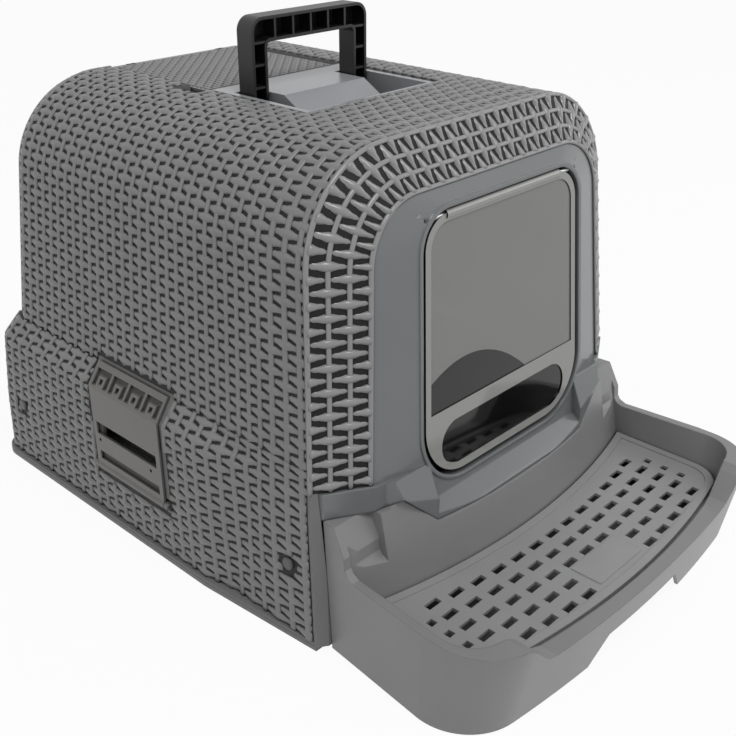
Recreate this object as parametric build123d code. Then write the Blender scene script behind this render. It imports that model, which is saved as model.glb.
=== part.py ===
from build123d import *
import os
from math import sqrt

# Sizes are in millimetres. X is the width, -Y the doorway end, +Z up, and the floor is z = 0.
# Widths hang on HOOD_HALF, lengths on FRONT_Y and REAR_Y, heights on the seam and on HOOD_TOP.

# Hood
HOOD_HALF = 193.0      # half width at the seam over the drawer
HOOD_TOP = 378.3       # the woven relief stands about 2 mm proud of the hood's surfaces
SEAM_Z = 116.4         # height of the seam at the hood's front corners
SIDE_DRAFT = 0.080     # how far the sides lean in, above the seam
SKIRT_DRAFT = 0.0455   # and below it
ARCH_R = 82.0
WALL = 3.2
FRONT_Y = -142.0       # front rim, carried down to the floor
FRONT_LEAN = 0.074
REAR_Y = 303.6
REAR_LEAN = 0.11
REAR_R = 32.0

# Bulged lower part of the hood
BULGE_HALF = HOOD_HALF + 10.3
BULGE_Z = 136.0
SHOULDER_Z = BULGE_Z + 20.0
BULGE_REAR = (REAR_Y + 10.4, REAR_Y + 4.4, REAR_Y - 8.6)   # at the floor, at mid height and at BULGE_Z
BULGE_MID_Z = 70.0
BULGE_R = 22.0
FADE_START_Y, FADE_END_Y, FADE_IN = FRONT_Y + 64.0, FRONT_Y + 127.0, 12.0

# Flanges round the foot
FLANGE_HALF = BULGE_HALF + 4.5
FLANGE_REAR = BULGE_REAR[0] + 2.5
FLANGE_R = 24.0
BASE_FLANGE = 4.0
HOOD_FLANGE = 3.0
SKIRT_PROUD = 5.4
BASE_FLOOR = 3.0
UPSTAND = 19.0

# Wicker band round the doorway and the smooth panel inside it
BAND_DEPTH = 23.2
BAND_FOOT = SEAM_Z + 22.1
DOOR_HALF = HOOD_HALF - 39.7      # half width of the hood's front opening at the seam
DOOR_TOP = HOOD_TOP - 32.8
DOOR_R = ARCH_R - 33.0
PANEL_DEPTH = 11.0
PANEL_WALL = 3.0
MOUTH_HALF = HOOD_HALF - 6.7

# Flap
FLAP_HALF = DOOR_HALF - 47.3      # half width of its opening at the foot
FLAP_TAPER = 0.044
FLAP_FOOT, FLAP_TOP = SEAM_Z - 3.1, DOOR_TOP - 13.0
FLAP_TOP_R, FLAP_FOOT_R = 30.0, 50.0
FLAP_GAP = 3.8
FLAP_THICK = 3.0
RIM_WIDTH = 3.6
RIM_DEPTH = 10.0
RIM_PROUD = 1.2
WINDOW_HALF, WINDOW_HIGH = FLAP_HALF - 24.0, 38.4      # window near the flap's foot
WINDOW_Z, WINDOW_FRAME = FLAP_FOOT + 30.0, 13.5
FLAP_BORDER, FLAP_SINK = 6.0, 1.0      # its proud border, and how far the field lies below it
FLAP_ROD_R = 2.0
FLAP_ROD_DROP = 5.5    # rod's axis below the top of the opening
KNUCKLE_HALF, KNUCKLE_R = 70.0, 4.0
LUG_NEAR, LUG_FAR, LUG_R = FLAP_HALF - 19.5, FLAP_HALF - 13.0, 3.4   # the panel's lugs that hold the rod
SWING_ROOM = 80.0      # clear depth behind the flap's opening

# Seam between panel and drawer
SILL_Z = SEAM_Z - 24.9
SILL_Y = FRONT_Y - 44.0
BAY_HALF, BAY_Y = DOOR_HALF - 54.8, FRONT_Y - 35.3
HORN_HALF, HORN_Y, HORN_Z = DOOR_HALF - 20.8, FRONT_Y - 30.6, SEAM_Z + 7.0
LEDGE_HALF, LEDGE_Y = DOOR_HALF - 12.3, FRONT_Y - 18.5
SEAM_GAP = 0.5

# Drawer
TRAY_FOOT = 1.0
TRAY_HALF = HOOD_HALF + 4.0
TRAY_FRONT = FRONT_Y - 165.0
TRAY_LEAN = 0.17
TRAY_CORNER_R = 50.0
TRAY_BOW_R = 1200.0
TRAY_WAIST_Y = FRONT_Y - 103.0
TRAY_RIM = 77.0
TRAY_LIP = 51.0
TRAY_SKIN = 3.0
EAR_X = 150.0          # the riser's ears are outside this
PLATE_Z = TRAY_LIP - 2.8
PLATE_THICK = 3.0
PLATE_SEAT = 6.0
PLATE_GAP, PLATE_GAP_AHEAD = 1.0, 2.4     # round the plate, and what its front edge has more
PLATE_HALF = TRAY_HALF - 17.0
PLATE_FRONT_R = 760.0
PLATE_DEEP = 103.0
ARC_Y = TRAY_FRONT + 7.0 + PLATE_FRONT_R          # the plate's edges and rows are arcs about this point
PLATE_REAR_R = PLATE_FRONT_R - PLATE_DEEP
PLATE_CORNER_R = 30.0
PLATE_BORDER = 7.0
RISER_LEAN, RIM_LEAN, RIM_WIDEN = 17.3, 6.4, 7.5  # how far the tray's room opens, at the riser's top and at the rim
ROWS, COLUMNS = 5, 13
ROW_R, ROW_PITCH, COLUMN_PITCH = PLATE_REAR_R + 23.7, 16.7, 22.9
HOLE_LONG, HOLE_WIDE = 14.0, 6.4
SIDE_HOLE_X, SIDE_HOLE_LONG = 6.75 * COLUMN_PITCH, 6.5
PAD_HALF = 30.0
ARCH_HALF, ARCH_RISE = 70.0, 25.0
REAR_PLATE_Y = FRONT_Y - 6.0
REAR_PLATE_THICK = 4.0

# Pan and its guides
PAN_HALF = MOUTH_HALF - 11.3
PAN_FOOT = 4.0
PAN_TOP = TRAY_RIM + 1.4
PAN_REAR = REAR_Y - 15.6
PAN_WALL = 2.4
PAN_RIM = MOUTH_HALF - 1.0
GUIDE_X = PAN_HALF + 3.6
GUIDE_THICK = 9.4
GUIDE_FOOT = PAN_TOP - 19.4
GUIDE_FRONT, GUIDE_REAR = FRONT_Y + 15.0, PAN_REAR + 6.0
SLIDE_GAP = 0.4
SCREW_Y = (GUIDE_FRONT + 17.5, GUIDE_REAR - 29.0)
SCREW_R = 2.5
HEAD_R, HEAD_HIGH = 5.5, 3.4
HEAD_SINK = 1.0
PAN_SCREW_X, PAN_SCREW_Z, PAN_SCREW_R, PAN_HEAD_R = (60.0, 140.0), 26.0, 2.0, 4.2

# Side clips
CLIP_Y0 = FRONT_Y + 177.0
CLIP_Y1 = CLIP_Y0 + 98.0
CLIP_THICK = 2.3
CLIP_GAP = 0.6
CLIP_PIN_Z = 57.5
CLIP_PIN_R = 1.5
CLIP_BARREL_R = 3.2
SLOT_FOOT, SLOT_TOP = 92.0, 104.0
GROOVE_FOOT, GROOVE_TOP = SLOT_FOOT - 26.0, SLOT_FOOT - 17.5
POCKETS, POCKET_RIB, POCKET_FOOT = 4, 2.6, BULGE_Z + 3.5
BOSS_HALF, BOSS_HIGH, BOSS_HOLE = 5.2, 8.5, 4.4      # the eye at the foot of each pocket
RUN = 0.05             # running clearance on the radius of every pin

# Top: seat and handle
SEAT_HALF, SEAT_FRONT = 75.5, -17.0
SEAT_REAR = SEAT_FRONT + 116.5
SEAT_THICK = 3.6
TUB_HALF, TUB_FRONT, TUB_REAR = SEAT_HALF - 3.5, SEAT_FRONT + 2.0, SEAT_REAR - 3.0
TUB_WALL = 2.5
TUB_FOOT = HOOD_TOP - 28.3
SEAT_DROP = 0.2        # seat's face below the crest
ISLAND_HALF, ISLAND_CREST_Y, ISLAND_TOE_Y = TUB_HALF - 25.0, TUB_FRONT + 56.0, TUB_FRONT + 27.5
ISLAND_TOE_Z = HOOD_TOP - 16.3
HANDLE_HALF, HANDLE_LEG, HANDLE_DEPTH = TUB_HALF - 6.0, 16.0, 18.0
HANDLE_Y, HANDLE_Z = TUB_FRONT + 80.0, HOOD_TOP - 15.3
HANDLE_TOP, HANDLE_BAR = HOOD_TOP + 60.4, 20.0
HANDLE_R = 12.0
HANDLE_WALL = 2.6
HANDLE_PIN_R = 2.5

# Lid
LID_HALF, LID_FRONT = SEAT_HALF - 0.5, SEAT_REAR + 2.5
LID_REAR = LID_FRONT + 145.5
LID_DROP = 2.1
LID_THICK = 2.9
LID_GAP = 0.8
LID_HOLE_HALF, LID_HOLE_FRONT, LID_HOLE_REAR = LID_HALF - 7.0, LID_FRONT + 7.0, LID_REAR - 11.5
LID_PIN_R, LID_KNUCKLE_R = 1.5, 2.8
TOP_FRAME = 10.5
BASKET_STEP = 1.5
BASKET_DEEP = 20.0

CLEAR = 0.3


# ---- Shapes -------------------------------------------------------------

def block(x0, x1, y0, y1, z0, z1):
    """A box between two corners."""
    middle = Pos((x0 + x1) / 2, (y0 + y1) / 2, (z0 + z1) / 2)
    return middle * Box(x1 - x0, y1 - y0, z1 - z0)


def prism_x(points, x0, x1):
    """A (y, z) outline carried from x0 to x1."""
    face = make_face(Polyline(*[(x0, y, z) for y, z in points], close=True))
    return extrude(face, amount=x1 - x0, dir=(1, 0, 0))


def prism_y(points, y0, y1):
    """An (x, z) outline carried from y0 to y1."""
    face = make_face(Polyline(*[(x, y0, z) for x, z in points], close=True))
    return extrude(face, amount=y1 - y0, dir=(0, 1, 0))


def prism_z(points, z0, z1):
    """An (x, y) outline carried from z0 to z1."""
    face = make_face(Polyline(*[(x, y, z0) for x, y in points], close=True))
    return extrude(face, amount=z1 - z0, dir=(0, 0, 1))


def rod_x(y, z, radius, x0, x1):
    """A round bar along X."""
    return Pos((x0 + x1) / 2, y, z) * Rot(0, 90, 0) * Cylinder(radius, x1 - x0)


def rod_y(x, z, radius, y0, y1):
    """A round bar along Y."""
    return Pos(x, (y0 + y1) / 2, z) * Rot(90, 0, 0) * Cylinder(radius, y1 - y0)


def both_sides(shape):
    """The shape and its mirror image about the middle."""
    return shape + mirror(shape, Plane.YZ)


def mirrored(points):
    """An outline's right half, continued by its left half."""
    return list(points) + [(-x, z) for x, z in reversed(points)]


def write(name, shape):
    """One STEP file per piece."""
    export_step(Compound(children=list(shape.solids())), f"parts/{name}.step")


# ---- Hood ---------------------------------------------------------------

STRETCH = sqrt(1 + FRONT_LEAN ** 2)


def lean_plane(depth):
    """The plane of the front rim, moved back by depth."""
    return Plane(origin=(0, FRONT_Y + depth, 0), x_dir=(1, 0, 0), z_dir=(0, -1, FRONT_LEAN))


def front_y(z, depth=0.0):
    return FRONT_Y + FRONT_LEAN * z + depth


def rear_y(z):
    return REAR_Y - REAR_LEAN * z


def hood_half(z):
    """Half width of the hood's side at a height."""
    if z < SEAM_Z:
        return HOOD_HALF + SKIRT_DRAFT * (SEAM_Z - z)
    return HOOD_HALF - SIDE_DRAFT * (z - SEAM_Z)


def door_half(z):
    """Half width of the hood's front opening at a height."""
    return DOOR_HALF - SIDE_DRAFT * (z - SEAM_Z)


def arch(half_at, foot, top, radius, inset=0.0):
    """An outline in the leaning plane, with drafted sides and two rounded top corners."""
    heights = (foot, SEAM_Z, top - inset)
    right = [(half_at(z) - inset, z * STRETCH) for z in heights]
    outline = Polygon(*mirrored(right), align=None)
    return fillet(outline.vertices().group_by(Axis.Y)[-1], radius - inset)


def hood_block(inset, foot):
    """The plain arched body, front and rear leaning."""
    outline = lean_plane(inset) * arch(hood_half, foot, HOOD_TOP, ARCH_R, inset)
    long_body = extrude(outline, amount=2 * FLANGE_REAR, dir=(0, 1, 0))
    low, high = foot - WALL, HOOD_TOP + WALL
    side = [(FRONT_Y - WALL, low), (FRONT_Y - WALL, high)]
    side += [(rear_y(high) - inset, high), (rear_y(low) - inset, low)]
    body = long_body & prism_x(side, -FLANGE_HALF, FLANGE_HALF)
    rear = body.faces().sort_by(Axis.Y)[-1]
    edges = [e for e in rear.edges() if e.center().Z > foot + 1]
    return fillet(edges, REAR_R - inset)


def band_block(inset, foot):
    """The body in front of the rim: it narrows to the opening."""
    outer = lean_plane(inset) * arch(hood_half, foot, HOOD_TOP, ARCH_R, inset)
    inner = lean_plane(inset - BAND_DEPTH) * arch(door_half, foot, DOOR_TOP, DOOR_R)
    return loft([outer, inner], ruled=True)


def bulge_outline(z, half, rear, radius):
    """A plan outline of the bulged part; its front runs into the hood's side."""
    right = [(half - FADE_IN, FADE_START_Y), (half, FADE_END_Y), (half, rear)]
    outline = Polygon(*mirrored(right), align=None)
    outline = fillet(outline.vertices().group_by(Axis.Y)[-1], radius)
    return Pos(0, 0, z) * outline


def bulge_block(inset, foot):
    levels = [
        (foot, BULGE_HALF, BULGE_REAR[0]),
        (BULGE_MID_Z, BULGE_HALF, BULGE_REAR[1]),
        (BULGE_Z, BULGE_HALF, BULGE_REAR[2]),
        (SHOULDER_Z, hood_half(SHOULDER_Z), rear_y(SHOULDER_Z)),
    ]
    outlines = [bulge_outline(z, half - inset, rear - inset, BULGE_R - inset)
                for z, half, rear in levels]
    return loft(outlines, ruled=True)


def flange_outline(inset):
    """Plan of the flange round the foot, from the front corners back."""
    right = [(hood_half(0) - inset, front_y(0) + 1), (FLANGE_HALF - inset, FADE_END_Y)]
    right += [(FLANGE_HALF - inset, FLANGE_REAR - inset)]
    outline = Polygon(*mirrored(right), align=None)
    return fillet(outline.vertices().group_by(Axis.Y)[-1], FLANGE_R - inset)


def hood_void():
    """The space inside the hood."""
    return hood_block(WALL, -WALL) + band_block(WALL, -WALL) + bulge_block(WALL, -WALL)


def door_cut():
    """The front opening and, below the band, the drawer's mouth."""
    outline = lean_plane(0) * arch(door_half, 0, DOOR_TOP, DOOR_R)
    doorway = extrude(outline, amount=4 * BAND_DEPTH, both=True)
    deep = front_y(0) + BAND_DEPTH
    return doorway + block(-MOUTH_HALF, MOUTH_HALF, SILL_Y, deep, -WALL, BAND_FOOT)


def top_face():
    return HOOD_TOP - WALL


SEAT_LEDGE = HOOD_TOP - SEAT_DROP - SEAT_THICK
LID_LEDGE = HOOD_TOP - LID_DROP - LID_THICK - CLEAR
BASKET_LEDGE = LID_LEDGE - BASKET_STEP
LID_AXIS_Y = LID_REAR - 1.2
LID_AXIS_Z = HOOD_TOP - LID_DROP - 2.4
LID_KNUCKLE_HALF = 48.0
EAR_WIDE = 9.0


def top_frame():
    """The thickened rim that carries the seat and the lid."""
    return block(-LID_HALF - 6, LID_HALF + 6, SEAT_FRONT - 5, LID_REAR + 8,
                 HOOD_TOP - TOP_FRAME, top_face() + 1)


def lid_ears():
    """Two lugs beside the lid's knuckle that hold its pin."""
    ear = rod_x(LID_AXIS_Y, LID_AXIS_Z, LID_KNUCKLE_R, LID_KNUCKLE_HALF + CLEAR, LID_KNUCKLE_HALF + EAR_WIDE)
    ear += block(LID_KNUCKLE_HALF + CLEAR, LID_KNUCKLE_HALF + EAR_WIDE, LID_AXIS_Y - LID_KNUCKLE_R,
                 LID_REAR + 3, HOOD_TOP - TOP_FRAME, LID_AXIS_Z)
    bore = rod_x(LID_AXIS_Y, LID_AXIS_Z, LID_PIN_R, LID_KNUCKLE_HALF, LID_KNUCKLE_HALF + EAR_WIDE)
    return both_sides(ear - bore)


def top_cuts():
    """Recesses for the seat, its tub, the lid and the filter basket."""
    high = HOOD_TOP + WALL
    low = HOOD_TOP - 3 * TOP_FRAME
    cuts = block(-SEAT_HALF - CLEAR, SEAT_HALF + CLEAR, SEAT_FRONT - CLEAR, SEAT_REAR + CLEAR,
                 SEAT_LEDGE, high)
    cuts += block(-TUB_HALF - CLEAR, TUB_HALF + CLEAR, TUB_FRONT - CLEAR, TUB_REAR + CLEAR, low, high)
    cuts += block(-LID_HALF - LID_GAP, LID_HALF + LID_GAP, LID_FRONT - LID_GAP, LID_REAR + 2.5,
                  LID_LEDGE, high)
    cuts += block(-LID_HOLE_HALF - 3, LID_HOLE_HALF + 3, LID_HOLE_FRONT - 3, LID_HOLE_REAR + 3,
                  BASKET_LEDGE, high)
    cuts += block(-LID_HOLE_HALF, LID_HOLE_HALF, LID_HOLE_FRONT, LID_HOLE_REAR, low, high)
    finger = [(-95, 127), (-LID_HALF, 127), (-LID_HALF, 99), (-90, 97)]
    cuts += prism_z(finger, LID_LEDGE, high)
    room = block(-LID_HALF - LID_GAP, LID_HALF + LID_GAP, LID_AXIS_Y - 4, LID_REAR + 2.5,
                 LID_AXIS_Z - LID_KNUCKLE_R - 0.6, high)
    return cuts + room


def clip_windows():
    """Openings behind the clip's slot and round its hinge."""
    inside, outside = BULGE_HALF - 2 * WALL, FLANGE_HALF
    window = block(inside, outside, CLIP_Y0 + 10, CLIP_Y1 - 10, SLOT_FOOT - 8, SLOT_TOP + 8)
    window += block(inside, outside, CLIP_Y0 - 8, CLIP_Y1 + 8, CLIP_PIN_Z - 5, CLIP_PIN_Z + 6)
    return both_sides(window)


def guide_screw_places():
    """The four screws: side, y, z and the wall's outer face there."""
    z = (GUIDE_FOOT + PAN_TOP) / 2 - 1.5
    wall = {SCREW_Y[0]: hood_half(z), SCREW_Y[1]: BULGE_HALF}
    return [(y, z, wall[y] - HEAD_SINK) for y in SCREW_Y]


def screw_cuts():
    cuts = None
    for y, z, seat in guide_screw_places():
        cut = rod_x(y, z, HEAD_R + 0.2, seat, seat + 9) + rod_x(y, z, SCREW_R, seat - 12, seat + 9)
        cuts = cut if cuts is None else cuts + cut
    return both_sides(cuts)


def hood_shell(void):
    foot = BASE_FLANGE
    flange = Pos(0, 0, foot) * extrude(flange_outline(0.3), amount=HOOD_FLANGE)
    shell = hood_block(0, foot) + band_block(0, foot) + bulge_block(0, foot) + flange
    shell = shell - void
    shell = shell + (top_frame() & void)
    shell = shell - door_cut() - top_cuts()
    shell = shell + lid_ears() - skirt_trim()
    return shell - clip_windows() - screw_cuts()


def skirt_trim():
    """Keeps the skirt's front rim flat beside the drawer."""
    rim = [(front_y(z, -SKIRT_PROUD), z) for z in (-WALL, SEAM_Z)]
    return prism_x(rim + [(SILL_Y, SEAM_Z), (SILL_Y, -WALL)], -TRAY_HALF - 9, TRAY_HALF + 9)


# ---- Front panel and flap -----------------------------------------------

def flap_half(z):
    return FLAP_HALF - FLAP_TAPER * (z - FLAP_FOOT)


def flap_outline(grow):
    """The flap's opening, grown or shrunk evenly."""
    low, high = FLAP_FOOT - grow, FLAP_TOP + grow
    right = [(flap_half(low) + grow, low * STRETCH), (flap_half(high) + grow, high * STRETCH)]
    outline = Polygon(*mirrored(right), align=None)
    rows = outline.vertices().group_by(Axis.Y)
    outline = fillet(rows[-1], FLAP_TOP_R + grow)
    return fillet(outline.vertices().group_by(Axis.Y)[0], FLAP_FOOT_R + grow)


def panel_outline(shrink, foot):
    """The panel's rear edge, just inside the hood's opening."""
    right = [(door_half(z) - shrink, z * STRETCH) for z in (foot, DOOR_TOP - shrink)]
    outline = Polygon(*mirrored(right), align=None)
    outline = fillet(outline.vertices().group_by(Axis.Y)[-1], DOOR_R - shrink)
    return fillet(outline.vertices().group_by(Axis.Y)[0], DOOR_R / 4)


def panel_block(shrink, shift):
    """The sloping surround between the opening's edge and the flap's rim."""
    back = lean_plane(shift - BAND_DEPTH) * panel_outline(shrink + 0.2, FLAP_FOOT - 4 + shrink)
    front = lean_plane(shift - BAND_DEPTH - PANEL_DEPTH) * flap_outline(RIM_WIDTH - shrink)
    return loft([back, front], ruled=True)


def flap_cut(grow, proud, deep):
    """A stretch of the flap's opening, from proud of its plane to deep behind it."""
    plane = lean_plane(-BAND_DEPTH - PANEL_DEPTH - proud)
    return extrude(plane * flap_outline(grow), amount=-(proud + deep))


def seam_line(gap, high):
    """The seam seen from the front, and everything above it up to high."""
    right = [(BAY_HALF, SILL_Z), (HORN_HALF, HORN_Z), (LEDGE_HALF, SEAM_Z), (MOUTH_HALF - 0.3, SEAM_Z)]
    right = [(x, z + gap) for x, z in right] + [(MOUTH_HALF - 0.3, high)]
    return mirrored(right)


def under_seam(gap):
    """Everything below the seam, seen from the front."""
    wide = TRAY_HALF + 9
    right = [(wide, SEAM_Z), (LEDGE_HALF, SEAM_Z), (HORN_HALF, HORN_Z), (BAY_HALF, SILL_Z)]
    right = [(wide, 0)] + [(x, z - gap) for x, z in right]
    return mirrored(right)


def sill_plan(inset):
    """Plan of the sill's front, with its bowed middle."""
    right = [(BAY_HALF, BAY_Y), (HORN_HALF, HORN_Y), (LEDGE_HALF, LEDGE_Y)]
    right += [(DOOR_HALF - 3.3, LEDGE_Y + 1.5), (MOUTH_HALF - 0.3, FRONT_Y + 3.2)]
    right = [(x - inset * x / MOUTH_HALF, y + inset) for x, y in right]
    left = [(-x, y) for x, y in reversed(right)]
    back = front_y(SEAM_Z) + 12
    bow = ThreePointArc(left[-1], (0, SILL_Y + inset), right[0])
    rest = Polyline(*right, (right[-1][0], back), (left[0][0], back), *left)
    return make_face([bow, rest])


def sill_block(inset):
    """Sill and side ledges as one body, cut out of plan, front and side views."""
    plan = Pos(0, 0, SILL_Z - 1) * sill_plan(inset)
    body = extrude(plan, amount=BAND_FOOT - SILL_Z + 1)
    body = body & prism_y(seam_line(inset, BAND_FOOT), SILL_Y - 5, front_y(BAND_FOOT) + BAND_DEPTH)
    slope = 0.4
    top_y = SILL_Y + slope * (BAND_FOOT - SILL_Z)
    side = [(SILL_Y + 1 + inset, SILL_Z), (top_y + 1 + inset, BAND_FOOT), (0, BAND_FOOT), (0, SILL_Z)]
    body = body & prism_x(side, -MOUTH_HALF, MOUTH_HALF)
    apron = [(SILL_Y - 9, SILL_Z), (SILL_Y + 1.5, SILL_Z), (-169.0, 104.0), (-167.8, 113.0)]
    apron += [(-166.0, BAND_FOOT + 1), (SILL_Y - 9, BAND_FOOT + 1)]
    apron = [(y + inset, z) for y, z in apron]
    return body - prism_x(apron, -BAY_HALF + 1 - inset, BAY_HALF - 1 + inset)


def front_panel():
    body = panel_block(0, 0) + flap_cut(RIM_WIDTH, RIM_PROUD, RIM_DEPTH)
    body = body - panel_block(PANEL_WALL, PANEL_WALL)
    sill = sill_block(0) - block(-MOUTH_HALF, MOUTH_HALF, SILL_Y, front_y(0, 60), 0, SILL_Z)
    hollow = sill_block(PANEL_WALL) & block(-MOUTH_HALF, MOUTH_HALF, SILL_Y, 0, 0, BAND_FOOT - PANEL_WALL)
    body = body + (sill - hollow)
    body = body + flap_cut(RIM_WIDTH, 0, RIM_DEPTH)
    body = body - prism_y(under_seam(0), SILL_Y - 20, 0)
    lug_y, lug_z = rod_line()
    lug = block(LUG_NEAR, LUG_FAR, lug_y - LUG_R / 2, lug_y + LUG_R, lug_z - LUG_R, lug_z + LUG_R)
    body = body - flap_cut(0, RIM_PROUD + 4, SWING_ROOM)
    half = flap_half(FLAP_TOP - FLAP_TOP_R)
    body = body - block(-half, half, lug_y + FLAP_THICK / 2 + CLEAR, lug_y + SWING_ROOM,
                        FLAP_TOP - FLAP_TOP_R, FLAP_TOP)
    body = body + (both_sides(lug) & flap_cut(RIM_WIDTH, 0, RIM_DEPTH))
    return body - rod_x(lug_y, lug_z, FLAP_ROD_R + RUN, -LUG_FAR, LUG_FAR)


def rod_line():
    """Where the flap's rod runs: y and z."""
    z = FLAP_TOP - FLAP_ROD_DROP
    return front_y(z, FLAP_THICK / 2 + 1 - BAND_DEPTH - PANEL_DEPTH), z


def entry_flap():
    y, z = rod_line()
    front = -BAND_DEPTH - PANEL_DEPTH
    outline = flap_outline(-FLAP_GAP)
    plate = extrude(lean_plane(front + FLAP_SINK) * outline, amount=-FLAP_THICK)
    window = Pos(0, WINDOW_Z * STRETCH) * SlotOverall(2 * WINDOW_HALF, WINDOW_HIGH)
    high = WINDOW_Z + WINDOW_HIGH / 2 + WINDOW_FRAME
    frame = (outline & Pos(0, high - FLAP_FOOT) * Rectangle(4 * FLAP_HALF, 2 * FLAP_FOOT)) - window
    frame = frame + (outline - flap_outline(-FLAP_GAP - FLAP_BORDER))
    plate = plate + extrude(lean_plane(front) * frame, amount=-2 * FLAP_SINK)
    plate = plate + rod_x(y, z, KNUCKLE_R, -KNUCKLE_HALF, KNUCKLE_HALF)
    return plate - rod_x(y, z, FLAP_ROD_R, -FLAP_HALF, FLAP_HALF)


# ---- Drawer -------------------------------------------------------------

def arc_points(radius, half, centre=ARC_Y):
    """Left, middle and right points of an arc that bows to the front."""
    edge = centre - sqrt(radius ** 2 - half ** 2)
    return (-half, edge), (0, centre - radius), (half, edge)


def bowed_front(half, front, bow_r, corner):
    """Arcs of a bowed front edge between two straight sides, and their two ends."""
    centre_y = front + bow_r
    corner_y = centre_y - sqrt((bow_r - corner) ** 2 - (half - corner) ** 2)
    reach = bow_r / (bow_r - corner)
    touch = ((half - corner) * reach, centre_y + (corner_y - centre_y) * reach)
    middle = sqrt((touch[0] - half + corner) ** 2 + (touch[1] - corner_y) ** 2)
    slant = (touch[0] - half + corner + corner, touch[1] - corner_y)
    length = sqrt(slant[0] ** 2 + slant[1] ** 2)
    on_corner = (half - corner + middle * slant[0] / length, corner_y + middle * slant[1] / length)
    right = ThreePointArc((half, corner_y), on_corner, touch)
    left = ThreePointArc((-half, corner_y), (-on_corner[0], on_corner[1]), (-touch[0], touch[1]))
    bow = ThreePointArc((-touch[0], touch[1]), (0, front), touch)
    return [left, bow, right], (half, corner_y)


def plate_outline(inset, widen=0.0, rise=0.0, ahead=0.0, corner=PLATE_CORNER_R):
    """Plan of the step plate or of the room it lies in, which is wider at its front corners."""
    half = PLATE_HALF - inset
    radius = PLATE_FRONT_R - inset + ahead
    front, (side, front_y_end) = bowed_front(half + widen, ARC_Y - radius, radius, corner)
    rear = arc_points(PLATE_REAR_R + inset - rise, half)
    edges = front + [Line((side, front_y_end), rear[2]), ThreePointArc(*reversed(rear))]
    edges += [Line(rear[0], (-side, front_y_end))]
    return make_face(edges)


def tray_outline(z, inset=0.0):
    """Plan of the tray's outside at a height."""
    rear = front_y(z, -SKIRT_PROUD - 0.6)
    front = TRAY_FRONT - TRAY_LEAN * (z - TRAY_FOOT) + inset
    half = TRAY_HALF - 0.02 * z - inset
    rear_half = MOUTH_HALF + 1.2 - 0.013 * z - inset
    arcs, (side, end) = bowed_front(half, front, TRAY_BOW_R, TRAY_CORNER_R - inset)
    rest = Polyline((side, end), (side, TRAY_WAIST_Y), (rear_half, rear), (-rear_half, rear),
                    (-side, TRAY_WAIST_Y), (-side, end))
    return Pos(0, 0, z) * make_face(arcs + [rest])


def tray_room():
    """The open space over the step plate, and the room of the plate itself."""
    seat = PLATE_Z - PLATE_THICK - CLEAR
    ahead = PLATE_GAP_AHEAD
    low = Pos(0, 0, seat) * plate_outline(-PLATE_GAP, ahead=ahead)
    middle = Pos(0, 0, TRAY_RIM) * plate_outline(-PLATE_GAP, RIM_WIDEN, RIM_LEAN, ahead + RIM_WIDEN / 3)
    high = Pos(0, 0, HORN_Z + 8) * plate_outline(-PLATE_GAP, 3.0, RISER_LEAN, ahead + 1.0)
    return loft([low, middle, high], ruled=True)


def tray_top_cuts():
    """What is above the tray's rim: along the sides, and lower still at the front."""
    ear = [(-340, TRAY_RIM), (-172, TRAY_RIM), (-166, 80), (-163.5, 84), (-162.5, 94), (-151, SEAM_Z)]
    ear += [(-151, 150), (-340, 150)]
    sides = both_sides(prism_x(ear, EAR_X, TRAY_HALF + 9))
    front = [(158, TRAY_RIM), (150, 72), (132, 54), (122, TRAY_LIP)]
    dip = prism_y(mirrored([(170, 150), (170, TRAY_RIM)] + front), -340, -235)
    return sides + dip


def finger_arch():
    """The grip cut under the tray's front edge."""
    outline = [(-ARCH_HALF, -1), (-ARCH_HALF + 20, ARCH_RISE), (ARCH_HALF - 20, ARCH_RISE), (ARCH_HALF, -1)]
    return prism_y(outline, TRAY_FRONT - 23, TRAY_FRONT + 11)


def step_tray():
    top = HORN_Z + 4
    body = loft([tray_outline(TRAY_FOOT), tray_outline(top)], ruled=True)
    body = body & prism_y(under_seam(SEAM_GAP), -340, -100)
    body = body - tray_room() - tray_top_cuts()
    seat = PLATE_Z - PLATE_THICK - CLEAR
    cavity = Pos(0, 0, 4) * plate_outline(PLATE_SEAT)
    body = body - extrude(cavity, amount=seat)
    skin = loft([tray_outline(TRAY_FOOT - 1, TRAY_SKIN), tray_outline(seat - 6, TRAY_SKIN)], ruled=True)
    core = extrude(Pos(0, 0, -2) * plate_outline(PLATE_SEAT - TRAY_SKIN), amount=seat)
    body = body - (skin - core)
    body = body - riser_hollow()
    rear = block(-GUIDE_X, GUIDE_X, REAR_PLATE_Y, REAR_PLATE_Y + REAR_PLATE_THICK, TRAY_FOOT, seat)
    return body + rear - finger_arch() - pan_screw_bores()


def riser_hollow():
    """The space behind the riser, open to the pan; it is lower behind the ears."""
    radius = PLATE_REAR_R - PLATE_GAP - TRAY_SKIN
    low, high = arc_points(radius, GUIDE_X), arc_points(radius - RISER_LEAN, GUIDE_X)
    faces = []
    for (left, middle, right), z in ((low, PLATE_Z), (high, HORN_Z + 8)):
        bow = ThreePointArc(left, middle, right)
        back = Polyline(right, (GUIDE_X, -100), (-GUIDE_X, -100), left)
        faces.append(Pos(0, 0, z) * make_face([bow, back]))
    room = loft(faces, ruled=True) & prism_y(under_seam(SEAM_GAP + TRAY_SKIN), -340, -90)
    side = block(EAR_X - TRAY_SKIN, GUIDE_X + 1, -340, REAR_PLATE_Y + REAR_PLATE_THICK,
                 TRAY_RIM - TRAY_SKIN, SEAM_Z + 9)
    return room - both_sides(side)


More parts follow.
